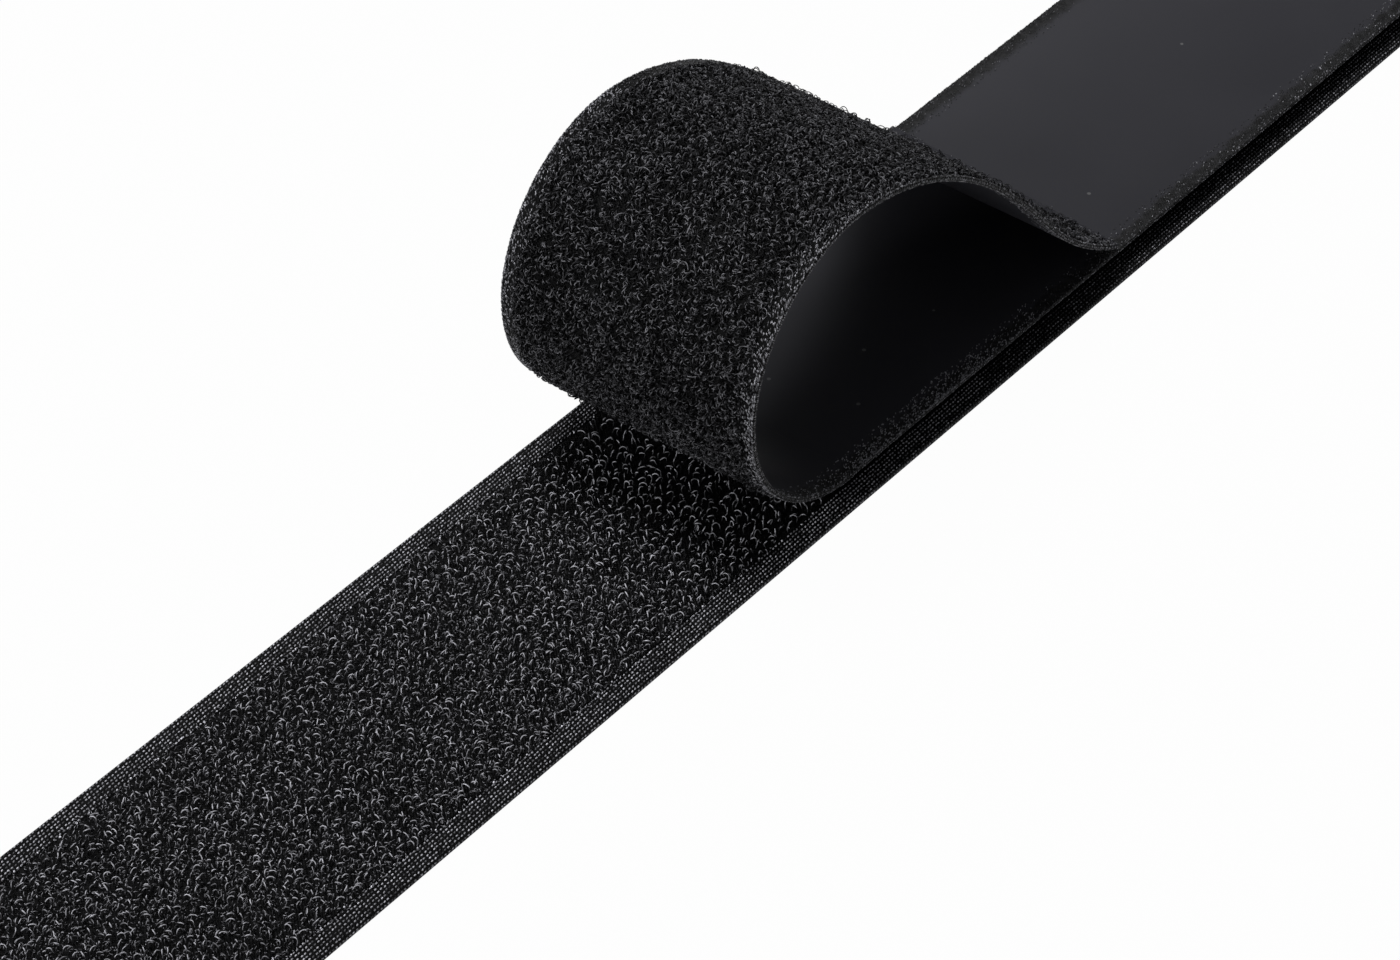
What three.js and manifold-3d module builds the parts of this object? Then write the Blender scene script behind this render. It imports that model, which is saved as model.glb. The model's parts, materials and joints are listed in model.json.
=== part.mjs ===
// Two lengths of woven hook and loop tape, pressed together over half their length.
// The loop tape's other half is peeled off the hooks and curls up and over, back on to its own back.
// Millimetres, +Z up. The origin lies on the hook tape's back, under the peel line, midway across the tape.
// +X runs along the pressed stretch, and +Y points to the tape's far edge.
import * as THREE from "three";
import { mergeVertices } from "three/addons/utils/BufferGeometryUtils.js";
import Module from "manifold-3d";

// Outline of the two tapes
const TAPE_WIDTH = 50;
const PRESSED_LENGTH = 180;
const HOOK_OVERHANG = 3.6; // hook tape left over beyond the flap, once the flap is pressed down
const LOOP_SIDE_SHIFT = 2.6; // the loop tape was pressed on this far towards the far edge

// Hook tape, from its back up
const HOOK_COATING = 0.2;
const HOOK_WEB = 0.5;
const HOOK_ROOT_WEB = 0.3; // the top of the web, which the hooks are woven into
const HOOK_SELVEDGE = 4;

// One hook: a cut loop of monofilament
const HOOK_HEIGHT = 1.6;
const HOOK_REACH = 1.1;
const HOOK_STRAND = 0.34;
const HOOK_ROOT = 0.15; // depth that a strand runs down into the web
const HOOK_SIDES = 3;
const HOOK_STEPS = 3;

// The hook field: rows of hooks, in a few stretches along the tape
const HOOK_FIELDS = 4;
const HOOK_PITCH = 4.6;
const HOOK_MARGIN = 1.3;
const GRIP_CLEARANCE = 0.3; // between the hooks' tops and the loop pile when the flap is down

// Loop tape, from its pile to its coated back
const LOOP_PILE = 0.6;
const LOOP_WEB = 0.6;
const LOOP_COATING = 0.2;
const LOOP_SELVEDGE = 2;
const LAYER_GAP = 0.05; // the web lies this far from the pile and the coating in the flap

// The flap: a chain of short flat stretches, each bending against the one before
const LINK_LENGTH = 10.4;
const LINK_GAP = 0.3;
const CURL_LINKS = 8; // up from the hooks and over the top
const CURL_BEND = 23.1; // degrees at each of their bends
const FALL_LINKS = 6; // down again, with bends that ease off evenly
const LANDING_LINKS = 2; // the end, which flattens out on the pressed stretch
const LANDING_BEND = 9.7; // degrees, bending the other way
const END_CLEARANCE = 0.35; // between the free end and the back that it comes down on

// Heights and places that follow from these
const HOOK_WEB_TOP = HOOK_COATING + HOOK_WEB + HOOK_ROOT_WEB;
const ROOT_WEB_BOTTOM = HOOK_COATING + HOOK_WEB;
const PILE_BOTTOM = HOOK_WEB_TOP + HOOK_HEIGHT + GRIP_CLEARANCE;
const PILE_TOP = PILE_BOTTOM + LOOP_PILE;
const LOOP_WEB_TOP = PILE_TOP + LOOP_WEB;
const LOOP_BACK = LOOP_WEB_TOP + LOOP_COATING;
const LOOP_THICKNESS = LOOP_PILE + LOOP_WEB + LOOP_COATING;
const FLAP_LINKS = CURL_LINKS + FALL_LINKS + LANDING_LINKS;
const EXPOSED_LENGTH = FLAP_LINKS * LINK_LENGTH + HOOK_OVERHANG;
const HALF_WIDTH = TAPE_WIDTH / 2;
const HOOK_FIELD_HALF = HALF_WIDTH - HOOK_SELVEDGE;
const PILE_HALF = HALF_WIDTH - LOOP_SELVEDGE;

const wasm = await Module();
wasm.setup();

// Finishes
const finish = (color, roughness) => new THREE.MeshStandardMaterial({ color, roughness, metalness: 0 });
const wovenBlack = () => finish(0x17171a, 0.85);
const selvedgeBlack = () => finish(0x202024, 0.8);
const monofilament = () => finish(0x26262a, 0.4);
const pileBlack = () => finish(0x0f0f11, 0.95);
const coatedGrey = () => finish(0x35363a, 0.5);

function named(name, geometry, material) {
  const mesh = new THREE.Mesh(geometry, material);
  mesh.name = name;
  return mesh;
}

// A flat layer between two values on each axis.
function slab([x0, x1], [y0, y1], [z0, z1], lengthwiseParts = 1) {
  const geometry = new THREE.BoxGeometry(x1 - x0, y1 - y0, z1 - z0, lengthwiseParts, 1, 1);
  return geometry.translate((x0 + x1) / 2, (y0 + y1) / 2, (z0 + z1) / 2);
}

function solidOf(geometry) {
  const bare = geometry.clone();
  bare.deleteAttribute("normal");
  bare.deleteAttribute("uv");
  const merged = mergeVertices(bare);
  const vertProperties = merged.attributes.position.array;
  const triVerts = new Uint32Array(merged.index.array);
  return new wasm.Manifold(new wasm.Mesh({ numProp: 3, vertProperties, triVerts }));
}

function geometryOf(solid) {
  const { vertProperties, triVerts } = solid.getMesh();
  const geometry = new THREE.BufferGeometry();
  geometry.setAttribute("position", new THREE.BufferAttribute(vertProperties, 3));
  geometry.setIndex(new THREE.BufferAttribute(triVerts, 1));
  return geometry;
}

// One strand that stands up from (x, y) and bends over towards the near or the far edge.
function hookStrand(x, y, side) {
  const radius = HOOK_STRAND / 2;
  const crown = HOOK_HEIGHT - radius;
  const at = (reach, height) => new THREE.Vector3(x, y + side * reach, HOOK_WEB_TOP + height);
  const path = new THREE.CatmullRomCurve3([
    at(0, -HOOK_ROOT),
    at(0, crown * 0.6),
    at(HOOK_REACH / 2, crown),
    at(HOOK_REACH, crown * 0.6),
  ]);
  const corners = [];
  for (let i = 0; i < HOOK_SIDES; i += 1) {
    const turn = (2 * Math.PI * i) / HOOK_SIDES;
    corners.push(new THREE.Vector2(radius * Math.cos(turn), radius * Math.sin(turn)));
  }
  const section = new THREE.Shape(corners);
  return new THREE.ExtrudeGeometry(section, { steps: HOOK_STEPS, bevelEnabled: false, extrudePath: path });
}

// Rows of hooks on the slice of web that holds them. Every second row is set half a pitch over, facing back.
function hookField(x0, x1) {
  let solid = solidOf(slab([x0, x1], [-HOOK_FIELD_HALF, HOOK_FIELD_HALF], [ROOT_WEB_BOTTOM, HOOK_WEB_TOP]));
  const rows = Math.floor((x1 - x0 - 2 * HOOK_MARGIN) / HOOK_PITCH) + 1;
  const columns = Math.floor((2 * HOOK_FIELD_HALF - 2 * HOOK_MARGIN) / HOOK_PITCH) + 1;
  const firstRow = (x0 + x1 - (rows - 1) * HOOK_PITCH) / 2;
  for (let row = 0; row < rows; row += 1) {
    const setOver = row % 2;
    const side = setOver ? -1 : 1;
    const inRow = columns - setOver;
    for (let i = 0; i < inRow; i += 1) {
      const y = (i - (inRow - 1) / 2) * HOOK_PITCH - (side * HOOK_REACH) / 2;
      solid = solid.add(solidOf(hookStrand(firstRow + row * HOOK_PITCH, y, side)));
    }
  }
  return geometryOf(solid);
}

function hookTape() {
  const tape = new THREE.Group();
  const whole = [-EXPOSED_LENGTH, PRESSED_LENGTH];
  const field = [-HOOK_FIELD_HALF, HOOK_FIELD_HALF];
  const edge = [HOOK_COATING, HOOK_WEB_TOP];
  tape.add(named("hook_coating", slab(whole, [-HALF_WIDTH, HALF_WIDTH], [0, HOOK_COATING]), coatedGrey()));
  tape.add(named("hook_selvedge_near", slab(whole, [-HALF_WIDTH, -HOOK_FIELD_HALF], edge), selvedgeBlack()));
  tape.add(named("hook_selvedge_far", slab(whole, [HOOK_FIELD_HALF, HALF_WIDTH], edge), selvedgeBlack()));

  // The web's top slice belongs to the hooks where they show, and to the web where they are buried.
  const side = new THREE.Shape([
    new THREE.Vector2(-EXPOSED_LENGTH, HOOK_COATING),
    new THREE.Vector2(PRESSED_LENGTH, HOOK_COATING),
    new THREE.Vector2(PRESSED_LENGTH, HOOK_WEB_TOP),
    new THREE.Vector2(0, HOOK_WEB_TOP),
    new THREE.Vector2(0, ROOT_WEB_BOTTOM),
    new THREE.Vector2(-EXPOSED_LENGTH, ROOT_WEB_BOTTOM),
  ]);
  const web = new THREE.ExtrudeGeometry(side, { depth: field[1] - field[0], bevelEnabled: false });
  web.rotateX(Math.PI / 2).translate(0, field[1], 0);
  tape.add(named("hook_web", web, wovenBlack()));

  const fieldLength = EXPOSED_LENGTH / HOOK_FIELDS;
  for (let i = 0; i < HOOK_FIELDS; i += 1) {
    const x1 = -i * fieldLength;
    tape.add(named(`hook_field_${i + 1}`, hookField(x1 - fieldLength, x1), monofilament()));
  }
  return tape;
}

// The stretch of loop tape that is pressed on: its pile reaches down among the buried hooks.
function pressedLoopTape() {
  const tape = new THREE.Group();
  const along = [0, PRESSED_LENGTH];
  const pile = slab(along, [-PILE_HALF, PILE_HALF], [HOOK_WEB_TOP, PILE_TOP]);
  tape.add(named("loop_pile_pressed", pile, pileBlack()));
  const web = slab(along, [-HALF_WIDTH, HALF_WIDTH], [PILE_TOP, LOOP_WEB_TOP]);
  tape.add(named("loop_web_pressed", web, wovenBlack()));
  const coating = slab(along, [-HALF_WIDTH, HALF_WIDTH], [LOOP_WEB_TOP, LOOP_BACK], 2);
  tape.add(named("loop_coating_pressed", coating, coatedGrey()));
  return tape;
}

// Bends in degrees, in order from the peel line: curl, fall and landing. Landing bends are negative.
function flapBends(firstFallBend) {
  const bends = [];
  for (let i = 0; i < CURL_LINKS; i += 1) bends.push(CURL_BEND);
  for (let i = 0; i < FALL_LINKS; i += 1) bends.push(firstFallBend * (1 - i / FALL_LINKS));
  for (let i = 0; i < LANDING_LINKS; i += 1) bends.push(-LANDING_BEND);
  return bends;
}

// Nested groups, one for each link. A link turns about the face on the inside of its bend:
// the coating's face where the tape curls up, and the pile's face where the end turns back.
function linkGroups(firstFallBend) {
  const groups = [];
  let outer = null;
  let hingeHeight = 0;
  flapBends(firstFallBend).forEach((bend) => {
    const link = new THREE.Group();
    const nextHeight = bend < 0 ? -LOOP_THICKNESS : 0;
    link.position.set(outer ? -LINK_LENGTH : 0, 0, nextHeight - hingeHeight);
    link.rotation.y = THREE.MathUtils.degToRad(bend);
    link.userData.coatingFace = -nextHeight;
    if (outer) outer.add(link);
    outer = link;
    hingeHeight = nextHeight;
    groups.push(link);
  });
  groups[0].position.z = LOOP_BACK;
  groups[0].updateMatrixWorld(true);
  return groups;
}

// Height of the free end's coated edge for a given first bend of the fall.
function freeEndHeight(firstFallBend) {
  const last = linkGroups(firstFallBend).at(-1);
  return last.localToWorld(new THREE.Vector3(-LINK_LENGTH, 0, last.userData.coatingFace)).z;
}

// The fall bends just enough for the free end to come down on the pressed stretch.
function solvedFallBend() {
  let slack = 0;
  let tight = 90 / FALL_LINKS;
  while (freeEndHeight(tight) > LOOP_BACK + END_CLEARANCE) tight *= 1.1;
  for (let i = 0; i < 50; i += 1) {
    const middle = (slack + tight) / 2;
    if (freeEndHeight(middle) > LOOP_BACK + END_CLEARANCE) slack = middle;
    else tight = middle;
  }
  return slack;
}

function flap() {
  const links = linkGroups(solvedFallBend());
  const along = [-LINK_LENGTH, -LINK_GAP];
  links.forEach((link, i) => {
    const number = String(i + 1).padStart(2, "0");
    const back = link.userData.coatingFace;
    const webTop = back - LOOP_COATING;
    const pileTop = webTop - LOOP_WEB;
    const coating = slab(along, [-HALF_WIDTH, HALF_WIDTH], [webTop, back]);
    const web = slab(along, [-HALF_WIDTH, HALF_WIDTH], [pileTop + LAYER_GAP, webTop - LAYER_GAP]);
    const pile = slab(along, [-PILE_HALF, PILE_HALF], [pileTop - LOOP_PILE, pileTop]);
    link.add(named(`loop_coating_${number}`, coating, coatedGrey()));
    link.add(named(`loop_web_${number}`, web, wovenBlack()));
    link.add(named(`loop_pile_${number}`, pile, pileBlack()));
  });
  return links[0];
}

const loopTape = new THREE.Group();
loopTape.position.y = LOOP_SIDE_SHIFT;
loopTape.add(pressedLoopTape(), flap());

const hookAndLoopTape = new THREE.Group();
hookAndLoopTape.add(hookTape(), loopTape);

export default hookAndLoopTape;
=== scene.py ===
# %% [markdown]
# # Hook and loop tape, half peeled
# Two lengths of black woven tape. The lower one carries thousands of stiff little hooks, the upper one a
# soft pile of loops. The upper tape is pressed on over half its length. Its other half is peeled off, curls
# up and back over itself, and lands with its cut end on its own back.
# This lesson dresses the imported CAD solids. The solids give every place and every bend, and each cell makes
# one thing that the real tape has: hooks, pile, woven edges, a coated back.

# %% Frame and units
import json
import math
import random
from collections import namedtuple

import bmesh
import bpy
from mathutils import Matrix, Vector

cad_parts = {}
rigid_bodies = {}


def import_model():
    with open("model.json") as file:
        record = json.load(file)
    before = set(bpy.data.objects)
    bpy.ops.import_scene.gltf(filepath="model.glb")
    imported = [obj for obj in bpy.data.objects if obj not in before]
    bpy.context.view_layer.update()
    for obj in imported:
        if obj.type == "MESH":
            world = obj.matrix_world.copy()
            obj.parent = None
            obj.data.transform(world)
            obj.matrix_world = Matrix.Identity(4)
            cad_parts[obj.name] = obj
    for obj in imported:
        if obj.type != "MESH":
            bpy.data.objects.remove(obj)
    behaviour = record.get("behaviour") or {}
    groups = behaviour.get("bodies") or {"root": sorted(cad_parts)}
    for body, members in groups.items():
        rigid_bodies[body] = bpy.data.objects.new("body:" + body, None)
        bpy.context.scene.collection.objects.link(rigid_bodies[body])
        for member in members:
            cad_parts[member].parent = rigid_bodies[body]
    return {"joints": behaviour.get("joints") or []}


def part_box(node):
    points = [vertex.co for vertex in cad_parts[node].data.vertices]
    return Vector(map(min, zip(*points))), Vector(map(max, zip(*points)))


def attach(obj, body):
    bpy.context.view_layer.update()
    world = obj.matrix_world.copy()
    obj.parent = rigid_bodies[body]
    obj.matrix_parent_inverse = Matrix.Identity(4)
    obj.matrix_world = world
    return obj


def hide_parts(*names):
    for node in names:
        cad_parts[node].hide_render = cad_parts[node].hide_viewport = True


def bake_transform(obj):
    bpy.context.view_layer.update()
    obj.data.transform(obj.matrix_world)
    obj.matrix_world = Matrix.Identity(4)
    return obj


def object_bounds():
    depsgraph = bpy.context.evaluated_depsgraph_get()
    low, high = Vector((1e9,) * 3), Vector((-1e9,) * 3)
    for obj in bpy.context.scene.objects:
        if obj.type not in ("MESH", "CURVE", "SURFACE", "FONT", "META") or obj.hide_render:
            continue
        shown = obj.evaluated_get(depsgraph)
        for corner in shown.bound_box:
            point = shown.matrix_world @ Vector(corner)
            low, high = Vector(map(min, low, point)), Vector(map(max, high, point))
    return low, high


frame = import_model()
cad_low, cad_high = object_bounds()
MM = 0.001
print("CAD box in mm:", [round(v / MM, 1) for v in (*cad_low, *cad_high)])

# %% [markdown]
# ## Camera
# The photograph was taken with a long lens from above the near edge, so the two edges of the tape stay
# almost parallel. The eye and the lens come from fitting a level camera to the tape's edges at a width of
# 50 mm.

# %% Camera
EYE = Vector((-0.4495, -0.3542, 0.4856))
LOOK_AT = Vector((-0.00746, -0.00136, 0.0))
LENS_MM = 120.47
SENSOR_MM = 36

camera_data = bpy.data.cameras.new("long_lens")
camera_data.sensor_width = SENSOR_MM
camera_data.lens = LENS_MM
camera_data.clip_start = 10 * MM
camera = bpy.data.objects.new("long_lens", camera_data)
camera.location = EYE
camera.rotation_mode = "QUATERNION"
camera.rotation_quaternion = (LOOK_AT - EYE).to_track_quat("-Z", "Y")
bpy.context.scene.collection.objects.link(camera)
bpy.context.scene.camera = camera
bpy.context.scene.view_settings.view_transform = "Standard"
print("camera distance in mm:", round((LOOK_AT - EYE).length / MM))

# %% [markdown]
# ## Node helpers
# A material is a small network. These helpers add a node, fill its sockets by name, and join it to what
# feeds it, so that each finish below reads as a list of what it is made of.

# %% Node helpers
MIX_SHARE = 0
MIX_FIRST_COLOUR = 6
MIX_SECOND_COLOUR = 7
MIX_COLOUR_OUT = 2
YARN_BLUE = 1.08


def fill_socket(tree, socket, value):
    if isinstance(value, bpy.types.NodeSocket):
        tree.links.new(value, socket)
    else:
        socket.default_value = value


def add_node(tree, kind, settings=None, **inputs):
    node = tree.nodes.new(kind)
    for key, value in (settings or {}).items():
        setattr(node, key, value)
    for key, value in inputs.items():
        by_place = key[0] == "i" and key[1:].isdigit()
        fill_socket(tree, node.inputs[int(key[1:]) if by_place else key.replace("_", " ")], value)
    return node


def math_node(tree, operation, first, second=0.0, third=0.0):
    node = add_node(tree, "ShaderNodeMath", {"operation": operation}, i0=first, i1=second, i2=third)
    return node.outputs[0]


def smooth_between(tree, value, low, high):
    smooth = {"interpolation_type": "SMOOTHSTEP"}
    node = add_node(tree, "ShaderNodeMapRange", smooth, Value=value, From_Min=low, From_Max=high)
    return node.outputs[0]


def mix_colours(tree, share, first, second):
    node = add_node(tree, "ShaderNodeMix", {"data_type": "RGBA"})
    fill_socket(tree, node.inputs[MIX_SHARE], share)
    fill_socket(tree, node.inputs[MIX_FIRST_COLOUR], first)
    fill_socket(tree, node.inputs[MIX_SECOND_COLOUR], second)
    return node.outputs[MIX_COLOUR_OUT]


def grey(value, blue=YARN_BLUE):
    return (value, value, value * blue, 1.0)


def new_group(name, inputs, outputs):
    tree = bpy.data.node_groups.new(name, "ShaderNodeTree")
    for direction, sockets in (("INPUT", inputs), ("OUTPUT", outputs)):
        for socket_name, kind in sockets:
            tree.interface.new_socket(socket_name, in_out=direction, socket_type=kind)
    return tree, tree.nodes.new("NodeGroupInput"), tree.nodes.new("NodeGroupOutput")


def use_group(tree, group, **inputs):
    return add_node(tree, "ShaderNodeGroup", {"node_tree": group}, **inputs)


# %% [markdown]
# ## Shared surface effects
# Three effects come back in several finishes: yarn that is never quite one shade, the relief of a plain
# weave, and the odd speck of lint. Each is a node group that is built once.

# %% Yarn shade
FLOAT = "NodeSocketFloat"
COLOUR = "NodeSocketColor"
VECTOR = "NodeSocketVector"
BROAD_SCALE = 60.0
BROAD_SHARE = 0.15
SHADE_FROM = 0.4
SHADE_TO = 0.76
LEAST_ROUGH = 0.28
ROUGH_SPREAD = 0.3

yarn_shade, source, sink = new_group(
    "yarn_shade",
    [("Scale", FLOAT), ("Dark", COLOUR), ("Light", COLOUR)],
    [("Colour", COLOUR), ("Roughness", FLOAT)],
)
place = add_node(yarn_shade, "ShaderNodeTexCoord").outputs["Object"]
fine = add_node(yarn_shade, "ShaderNodeTexNoise", Vector=place, Scale=source.outputs["Scale"], Detail=3.0)
broad = add_node(yarn_shade, "ShaderNodeTexNoise", Vector=place, Scale=BROAD_SCALE)
together = math_node(yarn_shade, "MULTIPLY_ADD", broad.outputs["Fac"], BROAD_SHARE, fine.outputs["Fac"])
share = smooth_between(yarn_shade, together, SHADE_FROM, SHADE_TO)
shade = mix_colours(yarn_shade, share, source.outputs["Dark"], source.outputs["Light"])
rough = math_node(yarn_shade, "MULTIPLY_ADD", fine.outputs["Fac"], ROUGH_SPREAD, LEAST_ROUGH)
yarn_shade.links.new(shade, sink.inputs["Colour"])
yarn_shade.links.new(rough, sink.inputs["Roughness"])

# %% Weave relief
WANDER_SCALE = 40.0
WANDER_DEPTH = 2.5

weave_relief, source, sink = new_group(
    "weave_relief",
    [("Flat cut", VECTOR), ("Along", FLOAT), ("Across", FLOAT)],
    [("Height", FLOAT)],
)
flat_place = source.outputs["Flat cut"]
wander = add_node(weave_relief, "ShaderNodeTexNoise", Vector=flat_place, Scale=WANDER_SCALE)
parts = add_node(weave_relief, "ShaderNodeSeparateXYZ", Vector=flat_place)
drift = math_node(weave_relief, "MULTIPLY", wander.outputs["Fac"], WANDER_DEPTH)
along = math_node(weave_relief, "MULTIPLY_ADD", parts.outputs["X"], source.outputs["Along"], drift)
across = math_node(weave_relief, "MULTIPLY_ADD", parts.outputs["Y"], source.outputs["Across"], drift)
warp = math_node(weave_relief, "SINE", along)
weft = math_node(weave_relief, "SINE", across)
knots = math_node(weave_relief, "MULTIPLY", warp, weft)
height = math_node(weave_relief, "MULTIPLY_ADD", knots, 0.5, 0.5)
weave_relief.links.new(height, sink.inputs["Height"])

# %% Lint specks
lint_specks, source, sink = new_group(
    "lint_specks",
    [("Scale", FLOAT), ("Size", FLOAT), ("Rarity", FLOAT)],
    [("Mask", FLOAT)],
)
place = add_node(lint_specks, "ShaderNodeTexCoord").outputs["Object"]
cells = add_node(lint_specks, "ShaderNodeTexVoronoi", Vector=place, Scale=source.outputs["Scale"])
near = math_node(lint_specks, "LESS_THAN", cells.outputs["Distance"], source.outputs["Size"])
drawn = add_node(lint_specks, "ShaderNodeSeparateColor", Color=cells.outputs["Color"])
chosen = math_node(lint_specks, "GREATER_THAN", drawn.outputs[0], source.outputs["Rarity"])
lint_specks.links.new(math_node(lint_specks, "MULTIPLY", near, chosen), sink.inputs["Mask"])
print("shared groups:", [g.name for g in bpy.data.node_groups])

# %% [markdown]
# ## Finishes
# Everything is dyed black, so the finishes differ mostly in how they catch light. The hooks are drawn nylon
# and glint. The pile is finer and softer. The woven edge shows each thread. The backs are coated and satin.
# Yarns come in three shades, because the ones that catch the light look far paler than their neighbours: the
# palest shade is a painted glint.

# %% Yarn finishes
YARN_SCALE = 1500.0
SHADE_NAMES = ("dark", "middle", "light")


def new_finish(name):
    finish = bpy.data.materials.new(name)
    finish.use_nodes = True
    return finish, finish.node_tree, finish.node_tree.nodes["Principled BSDF"]


def yarn_finish(name, dark, light, gloss):
    finish, tree, shader = new_finish(name)
    shade_of = use_group(tree, yarn_shade, Scale=YARN_SCALE, Dark=grey(dark), Light=grey(light))
    tree.links.new(shade_of.outputs["Colour"], shader.inputs["Base Color"])
    tree.links.new(shade_of.outputs["Roughness"], shader.inputs["Roughness"])
    shader.inputs["Specular IOR Level"].default_value = gloss
    return finish


def shades_with_painted_glint(name, greys, gloss):
    return [yarn_finish(f"{name}_{shade_name}", dark, light, gloss)
            for shade_name, (dark, light) in zip(SHADE_NAMES, greys)]


# Each yarn's light shade is a painted glint. The greys within each shade vary at random.
hook_nylon = shades_with_painted_glint("hook_nylon", ((0.015, 0.07), (0.1, 0.28), (0.3, 0.62)), 0.3)
pile_nylon = shades_with_painted_glint("pile_nylon", ((0.002, 0.01), (0.013, 0.07), (0.07, 0.23)), 0.05)
edge_yarn = shades_with_painted_glint("edge_yarn", ((0.01, 0.035), (0.05, 0.16), (0.2, 0.5)), 0.1)
selvedge_yarn = shades_with_painted_glint("selvedge_yarn", ((0.03, 0.12), (0.15, 0.38), (0.28, 0.64)), 0.1)
ground_yarn = shades_with_painted_glint("ground_yarn", ((0.002, 0.012), (0.05, 0.2), (0.17, 0.46)), 0.05)
# Near-white knots that stand for glints on the edge yarn: painted glints.
painted_glint_knot = yarn_finish("painted_glint_knot", 0.7, 0.95, 0.3)

# %% Woven grounds
GROUND_SCALE = 500.0
GROUND_DARK = 0.002
GROUND_LIGHT = 0.005
GROUND_GLOSS = 0.04
WEAVE_STRENGTH = 0.7
COAT_GREY = 0.03
COAT_BLUE = 1.2


def woven_finish(name, along, across, depth, worn_end=None, slant=0.0):
    """Black plain weave. A worn end fades into the grey of the coating, along a slanted cut."""
    finish, tree, shader = new_finish(name)
    dark = grey(GROUND_DARK)
    light = grey(GROUND_LIGHT)
    shade_of = use_group(tree, yarn_shade, Scale=GROUND_SCALE, Dark=dark, Light=light)
    flat_cut = add_node(tree, "ShaderNodeUVMap", {"uv_map": "flat_cut"}).outputs["UV"]
    relief = use_group(tree, weave_relief, Along=along, Across=across, Flat_cut=flat_cut)
    height = relief.outputs["Height"]
    bump = add_node(tree, "ShaderNodeBump", Height=height, Strength=WEAVE_STRENGTH, Distance=depth)
    colour = shade_of.outputs["Colour"]
    if worn_end:
        parts = add_node(tree, "ShaderNodeSeparateXYZ", Vector=flat_cut)
        squared = math_node(tree, "MULTIPLY_ADD", parts.outputs["Y"], -slant, parts.outputs["X"])
        worn = smooth_between(tree, squared, *worn_end)
        colour = mix_colours(tree, worn, colour, grey(COAT_GREY, COAT_BLUE))
    tree.links.new(colour, shader.inputs["Base Color"])
    tree.links.new(shade_of.outputs["Roughness"], shader.inputs["Roughness"])
    tree.links.new(bump.outputs["Normal"], shader.inputs["Normal"])
    shader.inputs["Specular IOR Level"].default_value = GROUND_GLOSS
    return finish


hook_ground = woven_finish("hook_ground", 520.0, 470.0, 0.15 * MM)

# %% Coated backs
MOTTLE_SCALE = 35.0
MOTTLE = 0.14
RAGGED_SCALE = 420.0
RAGGED_DEPTH = 0.05
NEAR_FADE = 0.012
FAR_FADE = 0.02
BARE_SCALE = 700.0
BARE_DARK = 0.003
BARE_LIGHT = 0.016
LINT_GREY = 0.12
LINT_BLUE = 1.02
COAT_ROUGH = 0.4
MOTTLE_ROUGH = 0.12
BARE_ROUGH = 0.2
COAT_GLOSS = 0.25
RAGGED_RELIEF = 0.06
RELIEF_STRENGTH = 0.5
RELIEF_DEPTH = 0.1 * MM


def coated_finish(name, near_band, far_band):
    """Satin coating that stops short of both edges in a ragged line, where the bare weave shows."""
    finish, tree, shader = new_finish(name)
    place = add_node(tree, "ShaderNodeTexCoord").outputs["Object"]
    flat_cut = add_node(tree, "ShaderNodeUVMap", {"uv_map": "flat_cut"}).outputs["UV"]
    across = add_node(tree, "ShaderNodeSeparateXYZ", Vector=flat_cut).outputs["Y"]
    mottle = add_node(tree, "ShaderNodeTexNoise", Vector=place, Scale=MOTTLE_SCALE, Detail=4.0).outputs["Fac"]
    ragged = add_node(tree, "ShaderNodeTexNoise", Vector=place, Scale=RAGGED_SCALE, Detail=3.0).outputs["Fac"]
    wobble = math_node(tree, "MULTIPLY_ADD", ragged, RAGGED_DEPTH, -RAGGED_DEPTH / 2)
    edge_place = math_node(tree, "ADD", across, wobble)
    bare_near = smooth_between(tree, edge_place, near_band + NEAR_FADE, near_band - NEAR_FADE)
    bare_far = smooth_between(tree, edge_place, 1.0 - far_band - FAR_FADE, 1.0 - far_band + FAR_FADE)
    bare = math_node(tree, "MAXIMUM", bare_near, bare_far)

    thin = grey(COAT_GREY * (1.0 - MOTTLE), COAT_BLUE)
    thick = grey(COAT_GREY * (1.0 + MOTTLE), COAT_BLUE)
    coat = mix_colours(tree, mottle, thin, thick)
    cloth = use_group(tree, yarn_shade, Scale=BARE_SCALE, Dark=grey(BARE_DARK), Light=grey(BARE_LIGHT))
    lint = use_group(tree, lint_specks, Scale=260.0, Size=0.09, Rarity=0.93)
    coat_or_painted_shade = mix_colours(tree, bare, coat, cloth.outputs["Colour"])
    speckled = mix_colours(tree, lint.outputs["Mask"], coat_or_painted_shade, grey(LINT_GREY, LINT_BLUE))
    tree.links.new(speckled, shader.inputs["Base Color"])

    coat_rough = math_node(tree, "MULTIPLY_ADD", mottle, MOTTLE_ROUGH, COAT_ROUGH)
    roughness = math_node(tree, "MULTIPLY_ADD", bare, BARE_ROUGH, coat_rough)
    tree.links.new(roughness, shader.inputs["Roughness"])
    relief = use_group(tree, weave_relief, Along=520.0, Across=480.0, Flat_cut=flat_cut)
    woven_height = math_node(tree, "MULTIPLY", relief.outputs["Height"], bare)
    height = math_node(tree, "MULTIPLY_ADD", ragged, RAGGED_RELIEF, woven_height)
    bump = add_node(tree, "ShaderNodeBump", Height=height, Strength=RELIEF_STRENGTH, Distance=RELIEF_DEPTH)
    tree.links.new(bump.outputs["Normal"], shader.inputs["Normal"])
    shader.inputs["Specular IOR Level"].default_value = COAT_GLOSS
    return finish


loop_coat = coated_finish("loop_coat", near_band=0.05, far_band=0.055)
hook_coat = coated_finish("hook_coat", near_band=0.03, far_band=0.03)
print("finishes:", [m.name for m in bpy.data.materials])

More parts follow.
